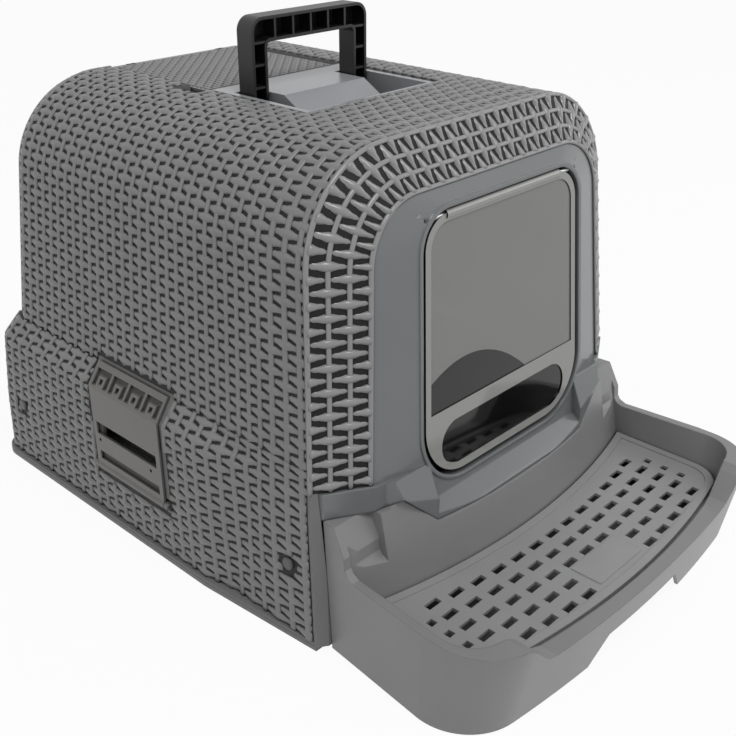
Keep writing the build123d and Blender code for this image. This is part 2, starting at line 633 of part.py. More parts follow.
def pan_screw_bores():
    bores = None
    for x in PAN_SCREW_X:
        bore = rod_y(x, PAN_SCREW_Z, PAN_SCREW_R, REAR_PLATE_Y - 1, REAR_PLATE_Y + 12)
        bores = bore if bores is None else bores + bore
    return both_sides(bores)


def pan_screws():
    """Screws with their heads in the pan, tapped into the tray's rear plate."""
    screws = None
    head_y = REAR_PLATE_Y + REAR_PLATE_THICK + PAN_WALL
    for x in PAN_SCREW_X:
        screw = rod_y(x, PAN_SCREW_Z, PAN_SCREW_R, REAR_PLATE_Y + 0.5, head_y)
        screw += rod_y(x, PAN_SCREW_Z, PAN_HEAD_R, head_y, head_y + 2.2)
        screws = screw if screws is None else screws + screw
    return both_sides(screws)


def rounded_box(half, front, rear, radius, z):
    outline = Pos((0, (front + rear) / 2)) * RectangleRounded(2 * half, rear - front, radius)
    return Pos(0, 0, z) * outline


def litter_pan():
    front = REAR_PLATE_Y + REAR_PLATE_THICK
    foot, top = PAN_FOOT, PAN_TOP
    outer = loft([rounded_box(PAN_HALF - 3, front, PAN_REAR - 6, 24, foot),
                  rounded_box(PAN_HALF, front, PAN_REAR, 24, top)], ruled=True)
    wall = PAN_WALL
    inner = loft([rounded_box(PAN_HALF - 3 - wall, front + wall, PAN_REAR - 6 - wall, 22, foot + wall),
                  rounded_box(PAN_HALF - wall, front + wall, PAN_REAR - wall, 22, top)], ruled=True)
    rim = extrude(rounded_box(PAN_RIM, front, PAN_REAR + 5, 26, top - wall), amount=wall)
    hole = extrude(rounded_box(PAN_HALF - 1, front + 1, PAN_REAR - 1, 23, top - 2 * wall), amount=3 * wall)
    return outer + (rim - hole) - inner - pan_screw_bores()


def grid_holes():
    """Five bowed rows of slots, with none in the pad, and short slots at the ends of the middle rows."""
    slots = []
    for row in range(ROWS):
        radius = ROW_R + row * ROW_PITCH
        across = [((column - (COLUMNS - 1) / 2) * COLUMN_PITCH, HOLE_LONG) for column in range(COLUMNS)]
        if row >= ROWS - 2:
            across = [(x, long) for x, long in across if abs(x) > PAD_HALF]
        if 0 < row < ROWS - 1:
            across += [(-SIDE_HOLE_X, SIDE_HOLE_LONG), (SIDE_HOLE_X, SIDE_HOLE_LONG)]
        slots += [Pos(x, ARC_Y - sqrt(radius ** 2 - x ** 2)) * Rectangle(long, HOLE_WIDE) for x, long in across]
    return Sketch() + slots


def grid_plate():
    foot = PLATE_Z - PLATE_THICK
    plate = extrude(Pos(0, 0, foot) * plate_outline(0), amount=PLATE_THICK)
    border = plate_outline(0) - plate_outline(PLATE_BORDER, corner=PLATE_CORNER_R - PLATE_BORDER)
    plate = plate + extrude(Pos(0, 0, PLATE_Z) * border, amount=1.2)
    plate = plate + block(-PAD_HALF, PAD_HALF, TRAY_FRONT + 20, TRAY_FRONT + 48, foot, PLATE_Z + 0.8)
    return plate - extrude(Pos(0, 0, foot - 1) * grid_holes(), amount=PLATE_THICK + 2)


# ---- Base and guides ----------------------------------------------------

def base_tray(void):
    flange = extrude(flange_outline(0), amount=BASE_FLANGE)
    inner = block(-FLANGE_HALF, FLANGE_HALF, FRONT_Y, FLANGE_REAR, BASE_FLOOR, BASE_FLANGE + 1)
    base = flange - (inner & void)
    base = base - block(-MOUTH_HALF, MOUTH_HALF, SILL_Y, REAR_PLATE_Y + REAR_PLATE_THICK + 0.5, -1, 9)
    ring = upstand_outline(0.5) - upstand_outline(3.0)
    ring = extrude(Pos(0, 0, BASE_FLOOR) * ring, amount=UPSTAND)
    ring = ring - block(-FLANGE_HALF, FLANGE_HALF, SILL_Y, FADE_END_Y, 0, 40)
    return base + ring + both_sides(clip_post())


def upstand_outline(inset):
    """Plan of the rim that locates the hood, just inside its wall."""
    lean = (BULGE_REAR[0] - BULGE_REAR[1]) * (BASE_FLOOR + UPSTAND) / BULGE_MID_Z
    half = BULGE_HALF - WALL - inset
    return bulge_outline(0, half, BULGE_REAR[0] - lean - WALL - inset, BULGE_R - WALL - inset)


CLIP_PIN_X = FLANGE_HALF - CLIP_BARREL_R
LUG = 5.5


def clip_post():
    """A post behind the hood's wall with two lugs through its window."""
    inside = BULGE_HALF - WALL - 5
    face = BULGE_HALF - WALL - 0.5
    post = block(inside, face, CLIP_Y0 - LUG - 1, CLIP_Y1 + LUG + 1, BASE_FLOOR, CLIP_PIN_Z - 5.5)
    for y0, y1 in ((CLIP_Y0 - LUG, CLIP_Y0 - CLEAR), (CLIP_Y1 + CLEAR, CLIP_Y1 + LUG)):
        post += block(inside, face, y0, y1, BASE_FLOOR, CLIP_PIN_Z + 4)
        post += block(inside, CLIP_PIN_X, y0, y1, CLIP_PIN_Z - 3, CLIP_PIN_Z + 3)
        post += rod_y(CLIP_PIN_X, CLIP_PIN_Z, 3.0, y0, y1)
    return post - rod_y(CLIP_PIN_X, CLIP_PIN_Z, CLIP_PIN_R, CLIP_Y0 - LUG, CLIP_Y1 + LUG)


def clip_pin():
    return rod_y(CLIP_PIN_X, CLIP_PIN_Z, CLIP_PIN_R, CLIP_Y0 - LUG, CLIP_Y1 + LUG)


def clip_pocket(y0, wide):
    """A pocket in the clip's hook, but for the eye at its foot."""
    inside, outside = HOOD_HALF - 25, FLANGE_HALF + 9
    pocket = block(inside, outside, y0, y0 + wide, POCKET_FOOT, SHOULDER_Z - 3.2)
    y, z = y0 + wide / 2, POCKET_FOOT + (BOSS_HIGH - BOSS_HOLE) / 2
    boss = block(inside, outside, y - BOSS_HALF, y + BOSS_HALF, POCKET_FOOT, POCKET_FOOT + BOSS_HIGH)
    boss -= block(inside, outside, y - BOSS_HOLE / 2, y + BOSS_HOLE / 2, z, z + BOSS_HOLE)
    return pocket - boss


def side_clip():
    """Plate, sloped hook with four pockets, slot, lower window and barrel."""
    near = BULGE_HALF + CLIP_GAP
    far = near + CLIP_THICK
    run, rise = BULGE_HALF - hood_half(SHOULDER_Z), SHOULDER_Z - BULGE_Z
    length = sqrt(run ** 2 + rise ** 2)
    out = (rise / length, run / length)
    thick = CLIP_GAP + CLIP_THICK
    foot_in = (near, BULGE_Z)
    top_in = (BULGE_HALF - run + out[0] * CLIP_GAP, SHOULDER_Z + out[1] * CLIP_GAP)
    top_out = (BULGE_HALF - run + out[0] * thick, SHOULDER_Z + out[1] * thick)
    foot_out = (far, BULGE_Z + 1.2)
    section = [(near, CLIP_PIN_Z), foot_in, top_in, top_out, foot_out, (far, CLIP_PIN_Z)]
    clip = prism_y(section, CLIP_Y0, CLIP_Y1)
    clip += rod_y(CLIP_PIN_X, CLIP_PIN_Z, CLIP_BARREL_R, CLIP_Y0, CLIP_Y1)
    wide = (CLIP_Y1 - CLIP_Y0 - (POCKETS + 1) * POCKET_RIB) / POCKETS
    for n in range(POCKETS):
        clip -= clip_pocket(CLIP_Y0 + POCKET_RIB + n * (wide + POCKET_RIB), wide)
    clip -= block(near - 3, far + 3, CLIP_Y0 + 6, CLIP_Y1 - 5, SLOT_FOOT, SLOT_TOP)
    clip -= block(near - 3, far + 3, CLIP_Y0 + 5, CLIP_Y1 - 6, GROOVE_FOOT, GROOVE_TOP)
    for y in (CLIP_Y0 + 15, CLIP_Y1 - 8):
        clip -= rod_x(y, 86.0, 1.6, near - 1, far + 1)
    return clip - rod_y(CLIP_PIN_X, CLIP_PIN_Z, CLIP_PIN_R + RUN, CLIP_Y0, CLIP_Y1)


def drawer_guide(void):
    """A rail with bosses that reach the hood's wall at its two screws."""
    top = PAN_TOP - PAN_WALL - SLIDE_GAP
    far = GUIDE_X + GUIDE_THICK
    rail = block(GUIDE_X, far, GUIDE_FRONT, GUIDE_REAR, GUIDE_FOOT, top)
    rail -= block(GUIDE_X + 2.4, far + 1, GUIDE_FRONT + 8, GUIDE_REAR - 8, GUIDE_FOOT - 1, top - 2.4)
    for y, z, _ in guide_screw_places():
        rail += rod_x(y, z, 7.5, GUIDE_X + 1, BULGE_HALF) & void
    for y, z, seat in guide_screw_places():
        rail -= rod_x(y, z, SCREW_R, seat - 12, BULGE_HALF)
    return rail


def guide_screws():
    screws = None
    for y, z, seat in guide_screw_places():
        head = rod_x(y, z, HEAD_R, seat, seat + HEAD_HIGH)
        head = fillet(head.edges().sort_by(Axis.X)[-1], 1.6)
        screw = head + rod_x(y, z, SCREW_R, seat - 11, seat)
        screws = screw if screws is None else screws + screw
    return both_sides(screws)


# ---- Top ----------------------------------------------------------------

def handle_seat():
    face = HOOD_TOP - SEAT_DROP
    seat = block(-SEAT_HALF, SEAT_HALF, SEAT_FRONT, SEAT_REAR, SEAT_LEDGE, face)
    seat += block(-TUB_HALF, TUB_HALF, TUB_FRONT, TUB_REAR, TUB_FOOT, face)
    half, front = TUB_HALF - TUB_WALL, TUB_FRONT + TUB_WALL
    back = HANDLE_Y + HANDLE_DEPTH / 2 + 3.5
    floor = TUB_FOOT + TUB_WALL
    channel = block(-half, half, front, back, floor, face + 1)
    ridge = [(ISLAND_TOE_Y, floor - 1), (ISLAND_TOE_Y, ISLAND_TOE_Z), (ISLAND_CREST_Y, face)]
    ridge += [(back + 1, face), (back + 1, floor - 1)]
    channel -= prism_x(ridge, -ISLAND_HALF, ISLAND_HALF)
    seat -= channel
    under = [(ISLAND_TOE_Y + TUB_WALL, TUB_FOOT - 1), (ISLAND_TOE_Y + TUB_WALL, ISLAND_TOE_Z - 1)]
    under += [(ISLAND_CREST_Y + 1, face - TUB_WALL), (TUB_REAR - TUB_WALL, face - TUB_WALL)]
    under += [(TUB_REAR - TUB_WALL, TUB_FOOT - 1)]
    seat -= prism_x(under, -ISLAND_HALF + TUB_WALL, ISLAND_HALF - TUB_WALL)
    boss = rod_x(HANDLE_Y, HANDLE_Z, 5.5, HANDLE_HALF + CLEAR, half + 1)
    inner = HANDLE_HALF - HANDLE_LEG - CLEAR
    boss += rod_x(HANDLE_Y, HANDLE_Z, 5.5, ISLAND_HALF - 1, inner)
    seat += both_sides(boss)
    pin = rod_x(HANDLE_Y, HANDLE_Z, HANDLE_PIN_R, ISLAND_HALF - TUB_WALL, half + 1.5)
    return seat - both_sides(pin)


def handle_pin():
    half = TUB_HALF - TUB_WALL
    return rod_x(HANDLE_Y, HANDLE_Z, HANDLE_PIN_R, ISLAND_HALF - TUB_WALL, half + 1.5)


def handle_outline(inset):
    """Front view of the bail: an upside-down U with rounded feet."""
    half, inner = HANDLE_HALF - inset, HANDLE_HALF - HANDLE_LEG + inset
    foot = HANDLE_Z - HANDLE_DEPTH / 2
    low = foot if inset == 0 else HANDLE_Z + HANDLE_PIN_R + 5
    top = HANDLE_TOP - inset
    outer = Pos(0, (low + top) / 2) * Rectangle(2 * half, top - low)
    outer = fillet(outer.vertices().group_by(Axis.Y)[-1], HANDLE_R - inset)
    bar = HANDLE_TOP - HANDLE_BAR + inset
    hole = Pos(0, (low + bar) / 2) * Rectangle(2 * inner, bar - low)
    hole = fillet(hole.vertices().group_by(Axis.Y)[-1], 4.0 + inset)
    return outer - hole


def carry_handle():
    """A channel section, open to the front and crossed by ribs."""
    front, back = HANDLE_Y - HANDLE_DEPTH / 2, HANDLE_Y + HANDLE_DEPTH / 2
    upright = Plane(origin=(0, back, 0), x_dir=(1, 0, 0), z_dir=(0, -1, 0))
    bail = extrude(upright * handle_outline(0), amount=HANDLE_DEPTH)
    feet = block(-HANDLE_HALF, HANDLE_HALF, front, back, HANDLE_Z, HANDLE_TOP)
    feet += rod_x(HANDLE_Y, HANDLE_Z, HANDLE_DEPTH / 2, -HANDLE_HALF, HANDLE_HALF)
    bail = bail & feet
    hollow_plane = Plane(origin=(0, back - HANDLE_WALL, 0), x_dir=(1, 0, 0), z_dir=(0, -1, 0))
    hollow = extrude(hollow_plane * handle_outline(HANDLE_WALL), amount=HANDLE_DEPTH)
    ribs = None
    for z in (383.0, 401.0, 418.7):
        rib = block(HANDLE_HALF - HANDLE_LEG, HANDLE_HALF, front + 0.8, back, z - 1, z + 1)
        ribs = rib if ribs is None else ribs + rib
    ribs = both_sides(ribs)
    for n in range(5):
        x = (n - 2) * 20.0
        ribs += block(x - 1, x + 1, front + 0.8, back, HANDLE_TOP - HANDLE_BAR, HANDLE_TOP - 1)
    bail = bail - (hollow - ribs)
    return bail - rod_x(HANDLE_Y, HANDLE_Z, HANDLE_PIN_R + RUN, -HANDLE_HALF, HANDLE_HALF)


def top_lid():
    face = HOOD_TOP - LID_DROP
    lid = block(-LID_HALF, LID_HALF, LID_FRONT, LID_REAR, face - LID_THICK, face)
    lid = fillet(lid.edges().filter_by(Axis.Z).sort_by(Axis.Y)[:2], 3)
    room = block(LID_KNUCKLE_HALF, LID_KNUCKLE_HALF + EAR_WIDE + 1, LID_AXIS_Y - LID_KNUCKLE_R - 1,
                 LID_REAR + 1, face - LID_THICK - 1, face + 1)
    lid = lid - both_sides(room)
    lid += rod_x(LID_AXIS_Y, LID_AXIS_Z, LID_KNUCKLE_R - 0.4, -LID_KNUCKLE_HALF, LID_KNUCKLE_HALF)
    return lid - rod_x(LID_AXIS_Y, LID_AXIS_Z, LID_PIN_R + RUN, -LID_KNUCKLE_HALF - 20, LID_KNUCKLE_HALF + 20)


def lid_hinge_pin():
    return rod_x(LID_AXIS_Y, LID_AXIS_Z, LID_PIN_R, -LID_KNUCKLE_HALF - EAR_WIDE, LID_KNUCKLE_HALF + EAR_WIDE)


def filter_basket():
    half, front, rear = LID_HOLE_HALF - CLEAR, LID_HOLE_FRONT + CLEAR, LID_HOLE_REAR - CLEAR
    foot = BASKET_LEDGE - BASKET_DEEP
    basket = block(-half, half, front, rear, foot, BASKET_LEDGE)
    basket += block(-half - 2.5, half + 2.5, front - 2.5, rear + 2.5, BASKET_LEDGE, BASKET_LEDGE + 1.2)
    basket -= block(-half + 2, half - 2, front + 2, rear - 2, foot + 2, LID_LEDGE)
    for n in range(9):
        y = front + 12 + n * 13.0
        basket -= block(-half + 9, half - 9, y - 3, y + 3, foot - 1, foot + 3)
    return basket


def charcoal_filter():
    half, front, rear = LID_HOLE_HALF - CLEAR, LID_HOLE_FRONT + CLEAR, LID_HOLE_REAR - CLEAR
    foot = BASKET_LEDGE - BASKET_DEEP + 2
    return block(-half + 2.6, half - 2.6, front + 2.6, rear - 2.6, foot, foot + 12)


def main():
    os.makedirs("parts", exist_ok=True)
    void = hood_void()
    write("base_tray", base_tray(void))
    write("hood_shell", hood_shell(void))
    write("front_panel", front_panel())
    write("entry_flap", entry_flap())
    y, z = rod_line()
    write("flap_hinge_rod", rod_x(y, z, FLAP_ROD_R, 1 - LUG_FAR, LUG_FAR - 1))
    write("step_tray", step_tray())
    write("litter_pan", litter_pan())
    write("pan_screws", pan_screws())
    write("grid_plate", grid_plate())
    for side, turn in (("right", False), ("left", True)):
        pieces = {"side_clip": side_clip(), "clip_pin": clip_pin(), "handle_pin": handle_pin()}
        pieces["drawer_guide"] = drawer_guide(void)
        for name, shape in pieces.items():
            write(f"{name}_{side}", mirror(shape, Plane.YZ) if turn else shape)
    write("guide_screws", guide_screws())
    write("handle_seat", handle_seat())
    write("carry_handle", carry_handle())
    write("top_lid", top_lid())
    write("lid_hinge_pin", lid_hinge_pin())
    write("filter_basket", filter_basket())
    write("charcoal_filter", charcoal_filter())


main()
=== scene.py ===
import math

import bpy
import numpy as np
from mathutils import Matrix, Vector


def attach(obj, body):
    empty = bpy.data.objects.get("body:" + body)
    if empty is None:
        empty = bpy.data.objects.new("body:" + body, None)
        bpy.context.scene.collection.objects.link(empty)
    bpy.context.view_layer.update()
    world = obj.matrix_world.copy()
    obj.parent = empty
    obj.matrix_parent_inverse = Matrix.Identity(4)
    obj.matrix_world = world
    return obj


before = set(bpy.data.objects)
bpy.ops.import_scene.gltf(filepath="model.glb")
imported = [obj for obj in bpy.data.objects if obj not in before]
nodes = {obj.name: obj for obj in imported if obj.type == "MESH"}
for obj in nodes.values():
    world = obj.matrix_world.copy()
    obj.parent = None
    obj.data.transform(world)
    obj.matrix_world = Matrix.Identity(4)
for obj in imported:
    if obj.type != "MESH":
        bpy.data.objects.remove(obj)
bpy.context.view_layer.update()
MM = 0.001

# ---- Camera: the photograph's own viewpoint, solved from the box's straight edges ----

camera_data = bpy.data.cameras.new("camera")
camera_data.lens = 51.65
camera_data.sensor_width = 36.0
camera_data.clip_start, camera_data.clip_end = 0.05, 50.0
camera = bpy.data.objects.new("camera", camera_data)
camera.location = (-0.62937, -0.60567, 0.57283)
camera.rotation_euler = (math.radians(62.86), 0.0, math.radians(-46.508))
bpy.context.scene.collection.objects.link(camera)
bpy.context.scene.camera = camera

# ---- The hood's own sizes, in millimetres, as the CAD has them ----

SEAM_Z, HOOD_HALF, HOOD_TOP, ARCH_R = 116.4, 193.0, 378.3, 82.0
SIDE_DRAFT, SKIRT_DRAFT = 0.080, 0.0455
FRONT_Y, FRONT_LEAN, REAR_Y, REAR_LEAN, REAR_R = -142.0, 0.074, 303.6, 0.11, 32.0
BULGE_HALF, BULGE_Z, BULGE_R = 203.3, 136.0, 22.0
BULGE_REAR_Z, BULGE_REAR = (0.0, 70.0, 136.0, 156.0), (314.0, 308.0, 295.0, 286.44)
SHOULDER_Z = 156.0
FADE_START, FADE_END, FADE_IN = -78.0, -15.0, 12.0
FLANGE_TOP = 7.0
BAND_DEPTH, BAND_FOOT = 23.2, 138.5
DOOR_HALF, DOOR_TOP, DOOR_R = 153.3, 345.5, 49.0
PANEL_DEPTH = 11.0
RIM_WIDE = 3.0                        # plain rim of the skirt, behind its front edge
HOOD_MIDDLE = (0.0, 0.08, 0.15)       # a point well inside the hood, in metres
WINDOW_HALF, WINDOW_R, WINDOW_Z = 82.0, 19.2, 143.3     # clear window near the flap's foot
FLAP_FRONT = FRONT_Y - BAND_DEPTH - PANEL_DEPTH         # face of the flap's frame, carried down to the floor
LID_HALF, LID_FRONT, LID_REAR, LID_TOP = 75.0, 102.0, 247.5, 376.2
CLIP_MIDDLE_Y, CLIP_HALF, CLIP_FOOT, CLIP_TOP = 84.0, 49.0, 50.0, 155.0
CLIP_MARGIN = 5.0                     # plain frame round a clip
SIDE_X = 150.0                        # anything further out is on a side wall
WALL_BEHIND_CLIP = 0.4                # share of the painted shade taken off the wall behind a clip
SCREW_PLACES, SCREW_CLEAR = ((-109.5, 67.0), (265.0, 67.0)), 8.5      # y and z of the guide screws
RECESS_HALF, RECESS_FRONT, RECESS_REAR = 77.5, -19.5, 252.5           # opening in the top
NOTCH_X, NOTCH_Y = (-92.0, -74.0), (97.0, 129.0)                      # finger notch beside the lid
ON_TOP_Z = 365.0                      # anything higher is on the hood's top
# The flap's half-moon of painted dark reflection, in metres: its crest is MOON_X left of the middle, and it
# falls off each way by MOON_BOW times the distance squared
MOON_X, MOON_TOP, MOON_BOW, MOON_END = 0.05, 0.211, 6.0, 0.172


def front_y(z):
    """The hood's leaning front edge."""
    return FRONT_Y + FRONT_LEAN * z


def rear_y(z):
    """The hood's leaning rear wall."""
    return REAR_Y - REAR_LEAN * z


def plain_half(z):
    """Half width of the hood above its seam, where it draws in towards the top."""
    return HOOD_HALF - SIDE_DRAFT * (z - SEAM_Z)


def hood_half(z):
    """Half width of the hood, which flares below its seam."""
    return np.where(z < SEAM_Z, HOOD_HALF + SKIRT_DRAFT * (SEAM_Z - z), plain_half(z))


# ---- Materials ----------------------------------------------------------

def linear(text):
    """An sRGB hex colour as a linear RGBA value."""
    values = [int(text[i:i + 2], 16) / 255 for i in (1, 3, 5)]
    return tuple(v / 12.92 if v <= 0.04045 else ((v + 0.055) / 1.055) ** 2.4 for v in values) + (1.0,)


def add(tree, kind, inputs=None, **settings):
    """Adds one shader node with its settings, and sets or links its inputs."""
    new = tree.nodes.new(kind)
    for key, value in settings.items():
        setattr(new, key, value)
    for key, value in (inputs or {}).items():
        if isinstance(value, bpy.types.NodeSocket):
            tree.links.new(value, new.inputs[key])
        else:
            new.inputs[key].default_value = value
    return new


def start(name):
    """A new material's node tree, emptied but for its output and shader."""
    made = bpy.data.materials.new(name)
    made.use_nodes = True
    tree = made.node_tree
    return made, tree, tree.nodes["Principled BSDF"]


def math_node(tree, operation, first, second=0.0, third=0.0):
    """One arithmetic step between numbers or sockets."""
    return add(tree, "ShaderNodeMath", {0: first, 1: second, 2: third}, operation=operation).outputs[0]


def blend(tree, share, low, high):
    """Mixes two colours by a share."""
    return add(tree, "ShaderNodeMix", {"Factor": share, 6: low, 7: high}, data_type="RGBA").outputs[2]


def cloudy(tree, place, colour, mottle):
    """The slight unevenness of pigment in a moulding, in patches of about 60 mm."""
    cloud = add(tree, "ShaderNodeTexNoise", {"Vector": place, "Scale": 1 / 0.06, "Detail": 3.0})
    tone = add(tree, "ShaderNodeMapRange", {"Value": cloud.outputs["Fac"], "From Min": 0.3, "From Max": 0.7,
                                            "To Min": 1 - mottle, "To Max": 1 + mottle})
    return add(tree, "ShaderNodeVectorMath", {0: linear(colour)[:3], 3: tone.outputs["Result"]},
               operation="SCALE").outputs["Vector"]


def hidden_from_light(tree, reach, low, high):
    """0 in a pocket that little light gets into, and 1 in the open."""
    sky = add(tree, "ShaderNodeAmbientOcclusion", {"Distance": reach}, samples=6)
    return add(tree, "ShaderNodeMapRange", {"Value": sky.outputs["AO"], "From Min": low,
                                            "From Max": high}).outputs["Result"]


def moulded_plastic(name, colour, roughness, grain_mm=0.5, grain=0.02, mottle=0.04, shade=None, reach=0.004,
                    pocket=(0.15, 0.75), edge_mm=0.0, painted_shade_share=None, gloss=0.5):
    """Injection-moulded polypropylene: a faint spark-eroded grain, a slight cloudiness in the colour,
    edges rounded by edge_mm and, where shade is given, painted shade: the colour darkens towards shade in
    narrow pockets that little light gets into.
    A painted-shade share, if given, adds that share of the shade colour to the colour as painted shade, and
    gloss is the strength of its shine."""
    made, tree, shader = start(name)
    place = add(tree, "ShaderNodeTexCoord").outputs["Object"]
    tinted = cloudy(tree, place, colour, mottle)
    if painted_shade_share:
        tinted = blend(tree, painted_shade_share(tree), tinted, linear(shade))
    elif shade:
        tinted = blend(tree, hidden_from_light(tree, reach, *pocket), linear(shade), tinted)
    tree.links.new(tinted, shader.inputs["Base Color"])
    fine = add(tree, "ShaderNodeTexNoise", {"Vector": place, "Scale": 1 / (grain_mm * MM), "Detail": 2.0})
    bump = add(tree, "ShaderNodeBump", {"Height": fine.outputs["Fac"], "Strength": grain, "Distance": MM})
    if edge_mm:
        soft_edge = add(tree, "ShaderNodeBevel", {"Radius": edge_mm * MM}, samples=4)
        tree.links.new(soft_edge.outputs["Normal"], bump.inputs["Normal"])
    tree.links.new(bump.outputs["Normal"], shader.inputs["Normal"])
    shader.inputs["Roughness"].default_value = roughness
    shader.inputs["Specular IOR Level"].default_value = gloss
    return made


def painted_pocket_shade(tree):
    """Share of painted shade on the hood: the dark of the weave's pockets, painted on its outer face under
    the weave, but not on its plain rims.
    """
    geometry = add(tree, "ShaderNodeNewGeometry")
    place, normal = geometry.outputs["Position"], geometry.outputs["Normal"]
    from_middle = add(tree, "ShaderNodeVectorMath", {0: place, 1: HOOD_MIDDLE},
                      operation="SUBTRACT").outputs[0]
    facing = add(tree, "ShaderNodeVectorMath", {0: from_middle, 1: normal}, operation="DOT_PRODUCT")
    outer = math_node(tree, "GREATER_THAN", facing.outputs["Value"], 0.0)
    x, y, z = add(tree, "ShaderNodeSeparateXYZ", {0: place}).outputs
    over_flange = math_node(tree, "GREATER_THAN", z, (FLANGE_TOP + 0.3) * MM)
    rim = math_node(tree, "MULTIPLY_ADD", z, -FRONT_LEAN, y)
    behind_rim = math_node(tree, "GREATER_THAN", rim, (FRONT_Y + RIM_WIDE) * MM)
    over_skirt = math_node(tree, "GREATER_THAN", z, BAND_FOOT * MM)
    woven = math_node(tree, "MAXIMUM", behind_rim, over_skirt)
    woven = math_node(tree, "MULTIPLY", woven, math_node(tree, "SUBTRACT", 1.0, beside_clip(tree, x, y, z)))
    return math_node(tree, "MULTIPLY", math_node(tree, "MULTIPLY", outer, over_flange), woven)


def beside_clip(tree, x, y, z):
    """1 on the plain margin that frames a side clip, and less on the shaded wall behind the clip."""
    on_side = math_node(tree, "GREATER_THAN", math_node(tree, "ABSOLUTE", x), SIDE_X * MM)
    off = math_node(tree, "ABSOLUTE", math_node(tree, "SUBTRACT", y, CLIP_MIDDLE_Y * MM))
    inside = math_node(tree, "LESS_THAN", off, (CLIP_HALF + CLIP_MARGIN) * MM)
    under = math_node(tree, "LESS_THAN", z, (CLIP_TOP + CLIP_MARGIN) * MM)
    over = math_node(tree, "GREATER_THAN", z, CLIP_TOP * MM)
    aside = math_node(tree, "GREATER_THAN", off, CLIP_HALF * MM)
    margin = math_node(tree, "MAXIMUM", math_node(tree, "MAXIMUM", over, aside), WALL_BEHIND_CLIP)
    above = math_node(tree, "GREATER_THAN", z, CLIP_FOOT * MM)
    framed = math_node(tree, "MULTIPLY", math_node(tree, "MULTIPLY", inside, under), margin)
    return math_node(tree, "MULTIPLY", framed, math_node(tree, "MULTIPLY", on_side, above))


def smoked_flap(name, clear, frost, roughness):
    """Smoked styrene: the field is hazy and the proud frame frosted, and the field's light grey is partly a
    painted reflection of bright surroundings. The window near the foot is clear and dark-tinted, so that the
    dark inside shows through it; a half-moon over its crossbar and the strip below MOON_END are a painted
    reflection of dark surroundings, coloured dark and more see-through. Its cut edges are painted black, as
    painted shade."""
    made, tree, shader = start(name)
    texture = add(tree, "ShaderNodeTexCoord").outputs
    place = texture["Object"]
    facing = add(tree, "ShaderNodeSeparateXYZ", {0: texture["Normal"]}).outputs[1]
    edge_with_painted_shade = math_node(tree, "LESS_THAN", math_node(tree, "ABSOLUTE", facing), 0.35)
    x, y, z = add(tree, "ShaderNodeSeparateXYZ", {0: place}).outputs
    across = math_node(tree, "SUBTRACT", math_node(tree, "ABSOLUTE", x), (WINDOW_HALF - WINDOW_R) * MM)
    across = math_node(tree, "MAXIMUM", across, 0.0)
    up = math_node(tree, "SUBTRACT", z, WINDOW_Z * MM)
    away = math_node(tree, "MULTIPLY_ADD", across, across, math_node(tree, "MULTIPLY", up, up))
    away = math_node(tree, "SQRT", away)
    window = math_node(tree, "LESS_THAN", away, WINDOW_R * MM)
    depth = math_node(tree, "MULTIPLY_ADD", z, -FRONT_LEAN, y)
    framed = math_node(tree, "LESS_THAN", depth, (FLAP_FRONT + 0.5) * MM)
    off_crest = math_node(tree, "ADD", x, MOON_X)
    crest = math_node(tree, "MULTIPLY", math_node(tree, "MULTIPLY", off_crest, off_crest), -MOON_BOW)
    moon = math_node(tree, "LESS_THAN", z, math_node(tree, "ADD", crest, MOON_TOP))
    low_corner = math_node(tree, "LESS_THAN", z, MOON_END)
    clear_window_and_painted_reflection = math_node(tree, "MAXIMUM", window, math_node(tree, "MAXIMUM", moon, low_corner))
    haze = add(tree, "ShaderNodeTexNoise", {"Vector": place, "Scale": 1 / 0.05, "Detail": 2.0})
    rough = add(tree, "ShaderNodeMapRange", {"Value": haze.outputs["Fac"], "To Min": roughness * 0.6,
                                             "To Max": roughness * 1.6})
    tree.links.new(rough.outputs["Result"], shader.inputs["Roughness"])
    # Painted reflection: the half-moon and the strip below MOON_END are coloured dark, like the window.
    field_with_painted_reflection = blend(tree, clear_window_and_painted_reflection, cloudy(tree, place, clear, 0.02), linear("#242423"))
    faces = blend(tree, framed, field_with_painted_reflection, linear(frost))
    # Painted shade: the cut edges are coloured near black.
    tree.links.new(blend(tree, edge_with_painted_shade, faces, linear("#0a0a0a")), shader.inputs["Base Color"])
    see_through = math_node(tree, "MULTIPLY_ADD", clear_window_and_painted_reflection, 0.72, 0.2)
    see_through = math_node(tree, "MULTIPLY", see_through, math_node(tree, "SUBTRACT", 1.0, framed))
    tree.links.new(see_through, shader.inputs["Transmission Weight"])
    shader.inputs["IOR"].default_value = 1.45
    return made


def drawn_steel(name, colour, roughness):
    """Bright drawn wire: fine scratches along its length."""
    made, tree, shader = start(name)
    place = add(tree, "ShaderNodeTexCoord").outputs["Object"]
    scratch = add(tree, "ShaderNodeTexNoise", {"Vector": place, "Scale": 1 / 0.0006, "Detail": 2.0})
    rough = add(tree, "ShaderNodeMapRange", {"Value": scratch.outputs["Fac"], "To Min": roughness * 0.7,
                                             "To Max": roughness * 1.4})
    tree.links.new(rough.outputs["Result"], shader.inputs["Roughness"])
    shader.inputs["Base Color"].default_value = linear(colour)
    shader.inputs["Metallic"].default_value = 1.0
    return made


def charcoal_foam(name, colour):
    """Open-cell foam with charcoal dust: matt, with cells of about 1 mm."""
    made, tree, shader = start(name)
    place = add(tree, "ShaderNodeTexCoord").outputs["Object"]
    cells = add(tree, "ShaderNodeTexVoronoi", {"Vector": place, "Scale": 1 / 0.0012})
    bump = add(tree, "ShaderNodeBump", {"Height": cells.outputs["Distance"], "Strength": 0.8, "Distance": MM})
    tree.links.new(bump.outputs["Normal"], shader.inputs["Normal"])
    shader.inputs["Base Color"].default_value = linear(colour)
    shader.inputs["Roughness"].default_value = 0.95
    return made
